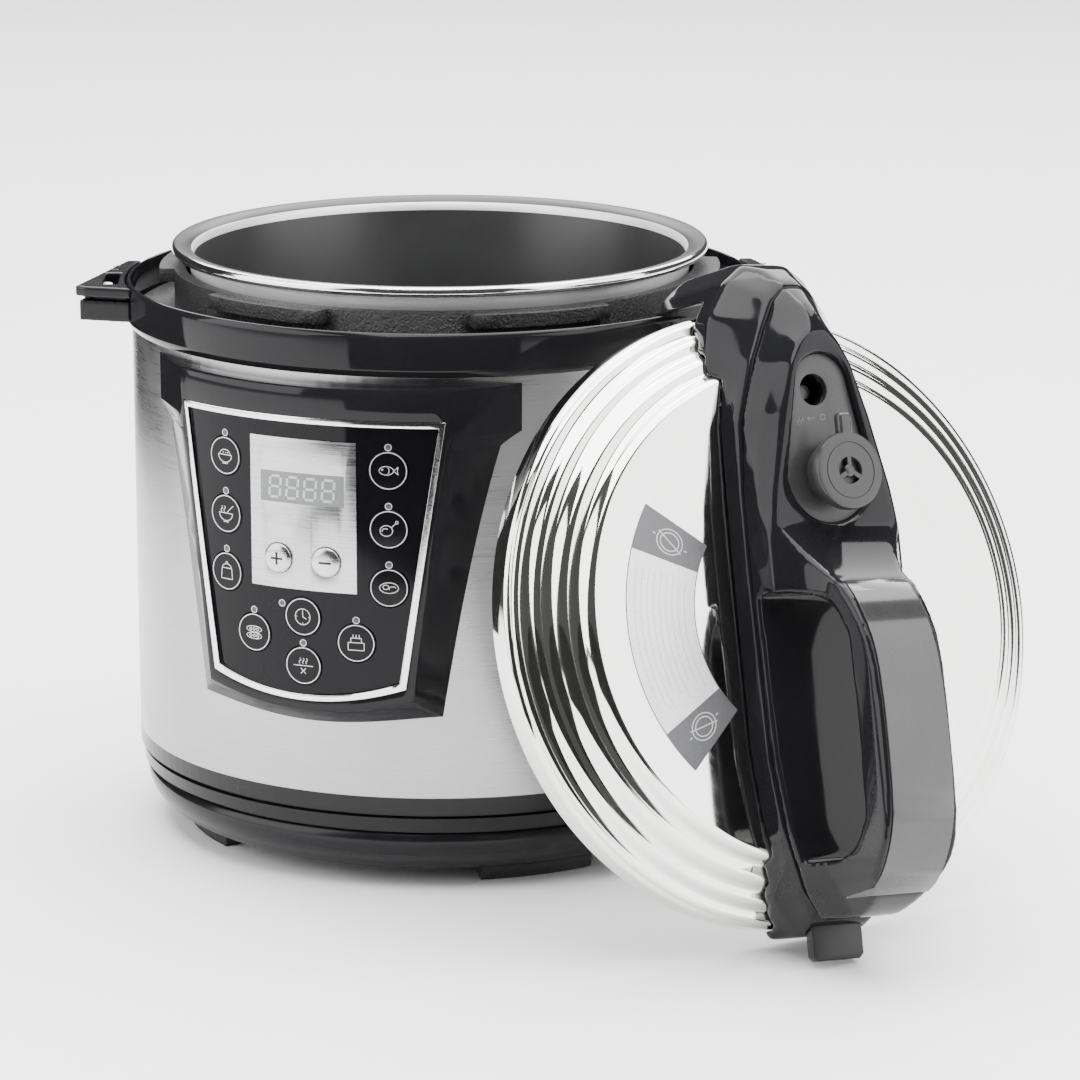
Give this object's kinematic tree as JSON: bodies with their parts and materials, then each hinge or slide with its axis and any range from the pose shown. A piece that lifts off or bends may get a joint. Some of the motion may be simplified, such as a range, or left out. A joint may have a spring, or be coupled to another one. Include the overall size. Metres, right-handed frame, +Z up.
{
  "type": "electric pressure cooker",
  "caption": "Electric pressure cooker with a brushed round body, a raised control panel, a removable pot and its twist-lock lid off, leaning on the body's right front.",
  "frame": {"origin": "on the table, at the axis of the cooking pot and of the round body", "axes": "+Z up along the pot's axis, -Y out of the middle of the control panel, +X to the panel's right as seen by someone facing it"},
  "size_m": [0.4421, 0.3707, 0.2762],
  "materials": {
    "foot_rubber": "matt",
    "base_plastic": "gloss black",
    "shell_steel": "brushed round the body",
    "collar_plastic": "gloss black",
    "ring_metal": "wrinkle black",
    "liner_steel": "satin",
    "ear_plastic": "satin black",
    "pot_coating": "dark non-stick inside, satin metal outside",
    "heater_metal": "cast",
    "zinc_steel": "zinc plated",
    "spring_steel": "plain",
    "board_resin": "printed board",
    "white_plastic": "satin white",
    "socket_plastic": "satin black",
    "cup_plastic": "clear plastic",
    "housing_plastic": "gloss black",
    "trim_chrome": "bright",
    "film_plastic": "gloss black film",
    "fascia_metal": "brushed across",
    "window_plastic": "grey tinted",
    "key_plastic": "gloss black with printed ring",
    "key_metal": "brushed dome",
    "light_plastic": "translucent",
    "switch_plastic": "satin black",
    "lid_steel": "mirror polished",
    "handle_plastic": "gloss black",
    "grip_plastic": "matt dark grey",
    "deck_plastic": "matt grey",
    "knob_plastic": "gloss black",
    "valve_metal": "turned",
    "float_metal": "red anodised",
    "seal_rubber": "translucent silicone",
    "inner_metal": "satin"
  },
  "bodies": {
    "cooker_body": {"rubber_feet": "foot_rubber", "base_housing": "base_plastic", "base_screws": "zinc_steel", "outer_shell": "shell_steel", "collar": "collar_plastic", "bayonet_ring": "ring_metal", "inner_housing": "liner_steel", "side_handle_left": "ear_plastic", "side_handle_right": "ear_plastic", "heating_plate": "heater_metal", "sensor_spring": "spring_steel", "sensor_bridge": "zinc_steel", "power_board": "board_resin", "thermal_fuse": "white_plastic", "pressure_switch": "white_plastic", "inlet_socket": "socket_plastic", "cup_rails": "base_plastic", "panel_housing": "housing_plastic", "panel_trim": "trim_chrome", "panel_film": "film_plastic", "fascia_plate": "fascia_metal", "display_window": "window_plastic", "display_module": "white_plastic", "tact_switches": "switch_plastic", "indicator_leds": "light_plastic", "control_board": "board_resin"},
    "cooking_pot": {"inner_pot": "pot_coating"},
    "sensor": {"thermal_sensor": "heater_metal"},
    "drip_cup": {"condensate_cup": "cup_plastic"},
    "inner_lid": {"inner_lid_plate": "inner_metal", "sealing_ring": "seal_rubber"},
    "lid": {"lid_shell": "lid_steel", "handle_base": "handle_plastic", "lid_tab": "grip_plastic", "handle_inlay": "grip_plastic", "lid_handle": "handle_plastic", "valve_deck": "deck_plastic", "vent_pipe": "valve_metal", "float_seal": "seal_rubber", "filter_shield": "valve_metal", "centre_post": "valve_metal", "handle_screws": "zinc_steel"},
    "regulator": {"regulator_knob": "knob_plastic"},
    "float": {"float_valve": "float_metal"},
    "key_rice": {"button_rice": "key_plastic"},
    "key_porridge": {"button_porridge": "key_plastic"},
    "key_soup": {"button_soup": "key_plastic"},
    "key_fish": {"button_fish": "key_plastic"},
    "key_chicken": {"button_chicken": "key_plastic"},
    "key_meat": {"button_meat": "key_plastic"},
    "key_bean": {"button_bean": "key_plastic"},
    "key_cake": {"button_cake": "key_plastic"},
    "key_preset": {"button_preset": "key_plastic"},
    "key_cancel": {"button_cancel": "key_plastic"},
    "key_minus": {"button_minus": "key_metal"},
    "key_plus": {"button_plus": "key_metal"}
  },
  "joints": [
    {"name": "pot_lift", "type": "slide", "parent": "cooker_body", "child": "cooking_pot", "axis": [0, 0, 1], "range_m": [0, 0.2]},
    {"name": "sensor_travel", "type": "slide", "parent": "cooker_body", "child": "sensor", "axis": [0, 0, 1], "range_m": [-0.002, 0], "stiffness_N_per_m": 300, "springref_m": 0.003, "deforming": ["sensor_spring"]},
    {"name": "cup_pull", "type": "slide", "parent": "cooker_body", "child": "drip_cup", "axis": [0, 1, 0], "range_m": [0, 0.04]},
    {"name": "lid_away", "type": "slide", "parent": "cooker_body", "child": "inner_lid", "axis": [0.7806, -0.5345, 0.3239], "range_m": [0, 0.2]},
    {"name": "lid_twist", "type": "hinge", "parent": "inner_lid", "child": "lid", "pos_m": [0.1972, -0.0972, 0.1316], "axis": [0.7806, -0.5345, 0.3239], "range_deg": [-30, 0]},
    {"name": "regulator_turn", "type": "hinge", "parent": "lid", "child": "regulator", "pos_m": [0.22946, -0.11305, 0.2006], "axis": [0.7806, -0.5345, 0.3239], "range_deg": [0, 55]},
    {"name": "float_rise", "type": "slide", "parent": "lid", "child": "float", "axis": [0.7806, -0.5345, 0.3239], "range_m": [0, 0.006]},
    {"name": "rice_press", "type": "slide", "parent": "cooker_body", "child": "key_rice", "axis": [0.2622, 0.965, 0], "range_m": [0, 0.0006], "stiffness_N_per_m": 200, "springref_m": -0.002},
    {"name": "porridge_press", "type": "slide", "parent": "cooker_body", "child": "key_porridge", "axis": [0.2622, 0.965, 0], "range_m": [0, 0.0006], "stiffness_N_per_m": 200, "springref_m": -0.002},
    {"name": "soup_press", "type": "slide", "parent": "cooker_body", "child": "key_soup", "axis": [0.2622, 0.965, 0], "range_m": [0, 0.0006], "stiffness_N_per_m": 200, "springref_m": -0.002},
    {"name": "fish_press", "type": "slide", "parent": "cooker_body", "child": "key_fish", "axis": [-0.2622, 0.965, 0], "range_m": [0, 0.0006], "stiffness_N_per_m": 200, "springref_m": -0.002},
    {"name": "chicken_press", "type": "slide", "parent": "cooker_body", "child": "key_chicken", "axis": [-0.2622, 0.965, 0], "range_m": [0, 0.0006], "stiffness_N_per_m": 200, "springref_m": -0.002},
    {"name": "meat_press", "type": "slide", "parent": "cooker_body", "child": "key_meat", "axis": [-0.2622, 0.965, 0], "range_m": [0, 0.0006], "stiffness_N_per_m": 200, "springref_m": -0.002},
    {"name": "bean_press", "type": "slide", "parent": "cooker_body", "child": "key_bean", "axis": [0.165, 0.9863, 0], "range_m": [0, 0.0006], "stiffness_N_per_m": 200, "springref_m": -0.002},
    {"name": "cake_press", "type": "slide", "parent": "cooker_body", "child": "key_cake", "axis": [-0.165, 0.9863, 0], "range_m": [0, 0.0006], "stiffness_N_per_m": 200, "springref_m": -0.002},
    {"name": "preset_press", "type": "slide", "parent": "cooker_body", "child": "key_preset", "axis": [0, 1, 0], "range_m": [0, 0.0006], "stiffness_N_per_m": 200, "springref_m": -0.002},
    {"name": "cancel_press", "type": "slide", "parent": "cooker_body", "child": "key_cancel", "axis": [0, 1, 0], "range_m": [0, 0.0006], "stiffness_N_per_m": 200, "springref_m": -0.002},
    {"name": "minus_press", "type": "slide", "parent": "cooker_body", "child": "key_minus", "axis": [-0.0767, 0.9971, 0], "range_m": [0, 0.0006], "stiffness_N_per_m": 200, "springref_m": -0.002},
    {"name": "plus_press", "type": "slide", "parent": "cooker_body", "child": "key_plus", "axis": [0.0767, 0.9971, 0], "range_m": [0, 0.0006], "stiffness_N_per_m": 200, "springref_m": -0.002}
  ]
}
